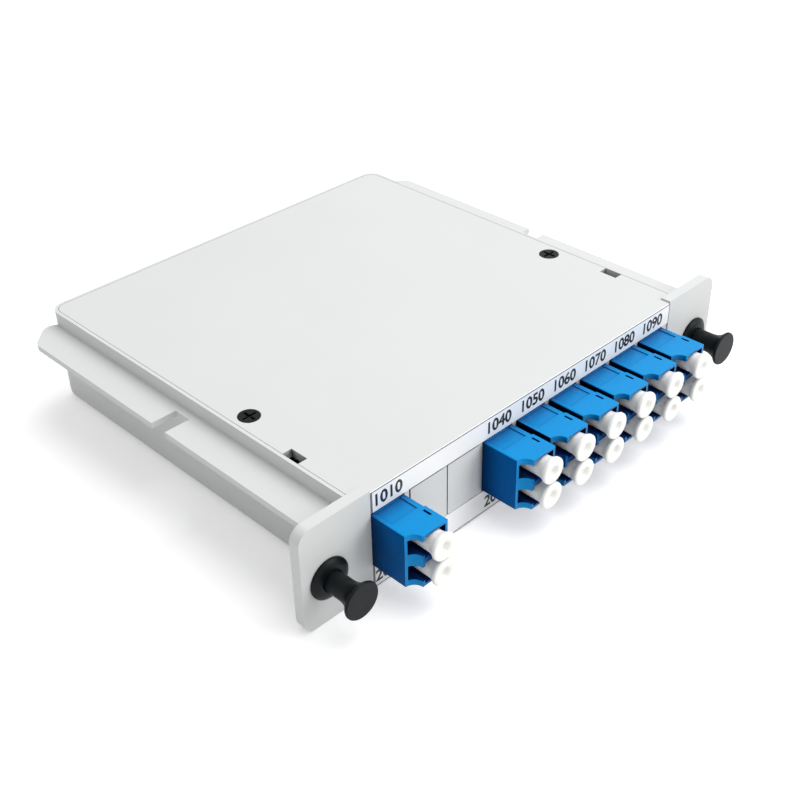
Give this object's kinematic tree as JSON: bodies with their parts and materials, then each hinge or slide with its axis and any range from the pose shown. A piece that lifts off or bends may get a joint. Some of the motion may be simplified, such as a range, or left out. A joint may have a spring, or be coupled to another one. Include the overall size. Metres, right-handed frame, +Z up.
{
  "type": "cwdm multiplexer cassette",
  "caption": "Flat plug-in plastic cassette with side rails, eared front flange, blue duplex fibre adapters with pull-off dust caps and push-pull latches.",
  "frame": {"origin": "middle of the tray's flat underside", "axes": "+Z up through the cover, +Y towards the back, +X to the right when looking at the back of the front flange from the front"},
  "size_m": [0.13, 0.1163, 0.0244],
  "materials": {
    "housing_abs": "fine matt moulded ABS, pale grey",
    "label_film": "white satin label film with plain black numbers",
    "adapter_blue": "satin moulded blue plastic",
    "cap_white": "soft translucent white plastic",
    "latch_black": "satin black nylon",
    "screw_black": "black oxide steel",
    "ceramic": "ground zirconia ceramic",
    "filter_steel": "drawn stainless tube",
    "fibre_yellow": "wound coated fibre"
  },
  "bodies": {
    "cassette": {"base_tray": "housing_abs", "top_cover": "housing_abs", "cover_screw_left": "screw_black", "cover_screw_right": "screw_black", "label_upper": "label_film", "label_lower": "label_film", "blank_plate_2": "housing_abs", "blank_plate_3": "housing_abs", "adapter_1": "adapter_blue", "sleeve_pair_1": "ceramic", "plug_pair_1": "adapter_blue", "adapter_4": "adapter_blue", "sleeve_pair_4": "ceramic", "plug_pair_4": "adapter_blue", "adapter_5": "adapter_blue", "sleeve_pair_5": "ceramic", "plug_pair_5": "adapter_blue", "adapter_6": "adapter_blue", "sleeve_pair_6": "ceramic", "plug_pair_6": "adapter_blue", "adapter_7": "adapter_blue", "sleeve_pair_7": "ceramic", "plug_pair_7": "adapter_blue", "adapter_8": "adapter_blue", "sleeve_pair_8": "ceramic", "plug_pair_8": "adapter_blue", "adapter_9": "adapter_blue", "sleeve_pair_9": "ceramic", "plug_pair_9": "adapter_blue", "latch_grommet_left": "latch_black", "filter_tube_left_1": "filter_steel", "filter_tube_left_2": "filter_steel", "filter_tube_left_3": "filter_steel", "filter_tube_left_4": "filter_steel", "filter_tube_left_5": "filter_steel", "filter_tube_left_6": "filter_steel", "latch_grommet_right": "latch_black", "filter_tube_right_1": "filter_steel", "filter_tube_right_2": "filter_steel", "filter_tube_right_3": "filter_steel", "filter_tube_right_4": "filter_steel", "filter_tube_right_5": "filter_steel", "filter_tube_right_6": "filter_steel", "fibre_coil": "fibre_yellow"},
    "cap_1a": {"dust_cap_1a": "cap_white"},
    "cap_1b": {"dust_cap_1b": "cap_white"},
    "cap_4a": {"dust_cap_4a": "cap_white"},
    "cap_4b": {"dust_cap_4b": "cap_white"},
    "cap_5a": {"dust_cap_5a": "cap_white"},
    "cap_5b": {"dust_cap_5b": "cap_white"},
    "cap_6a": {"dust_cap_6a": "cap_white"},
    "cap_6b": {"dust_cap_6b": "cap_white"},
    "cap_7a": {"dust_cap_7a": "cap_white"},
    "cap_7b": {"dust_cap_7b": "cap_white"},
    "cap_8a": {"dust_cap_8a": "cap_white"},
    "cap_8b": {"dust_cap_8b": "cap_white"},
    "cap_9a": {"dust_cap_9a": "cap_white"},
    "cap_9b": {"dust_cap_9b": "cap_white"},
    "plunger_left": {"latch_plunger_left": "latch_black"},
    "plunger_right": {"latch_plunger_right": "latch_black"}
  },
  "joints": [
    {"name": "cap_1a_pull", "type": "slide", "parent": "cassette", "child": "cap_1a", "axis": [0, -1, 0], "range_m": [0, 0.014]},
    {"name": "cap_1b_pull", "type": "slide", "parent": "cassette", "child": "cap_1b", "axis": [0, -1, 0], "range_m": [0, 0.014]},
    {"name": "cap_4a_pull", "type": "slide", "parent": "cassette", "child": "cap_4a", "axis": [0, -1, 0], "range_m": [0, 0.014]},
    {"name": "cap_4b_pull", "type": "slide", "parent": "cassette", "child": "cap_4b", "axis": [0, -1, 0], "range_m": [0, 0.014]},
    {"name": "cap_5a_pull", "type": "slide", "parent": "cassette", "child": "cap_5a", "axis": [0, -1, 0], "range_m": [0, 0.014]},
    {"name": "cap_5b_pull", "type": "slide", "parent": "cassette", "child": "cap_5b", "axis": [0, -1, 0], "range_m": [0, 0.014]},
    {"name": "cap_6a_pull", "type": "slide", "parent": "cassette", "child": "cap_6a", "axis": [0, -1, 0], "range_m": [0, 0.014]},
    {"name": "cap_6b_pull", "type": "slide", "parent": "cassette", "child": "cap_6b", "axis": [0, -1, 0], "range_m": [0, 0.014]},
    {"name": "cap_7a_pull", "type": "slide", "parent": "cassette", "child": "cap_7a", "axis": [0, -1, 0], "range_m": [0, 0.014]},
    {"name": "cap_7b_pull", "type": "slide", "parent": "cassette", "child": "cap_7b", "axis": [0, -1, 0], "range_m": [0, 0.014]},
    {"name": "cap_8a_pull", "type": "slide", "parent": "cassette", "child": "cap_8a", "axis": [0, -1, 0], "range_m": [0, 0.014]},
    {"name": "cap_8b_pull", "type": "slide", "parent": "cassette", "child": "cap_8b", "axis": [0, -1, 0], "range_m": [0, 0.014]},
    {"name": "cap_9a_pull", "type": "slide", "parent": "cassette", "child": "cap_9a", "axis": [0, -1, 0], "range_m": [0, 0.014]},
    {"name": "cap_9b_pull", "type": "slide", "parent": "cassette", "child": "cap_9b", "axis": [0, -1, 0], "range_m": [0, 0.014]},
    {"name": "plunger_left_push", "type": "slide", "parent": "cassette", "child": "plunger_left", "axis": [0, 1, 0], "range_m": [0, 0.0032]},
    {"name": "plunger_right_push", "type": "slide", "parent": "cassette", "child": "plunger_right", "axis": [0, 1, 0], "range_m": [0, 0.0032]}
  ]
}
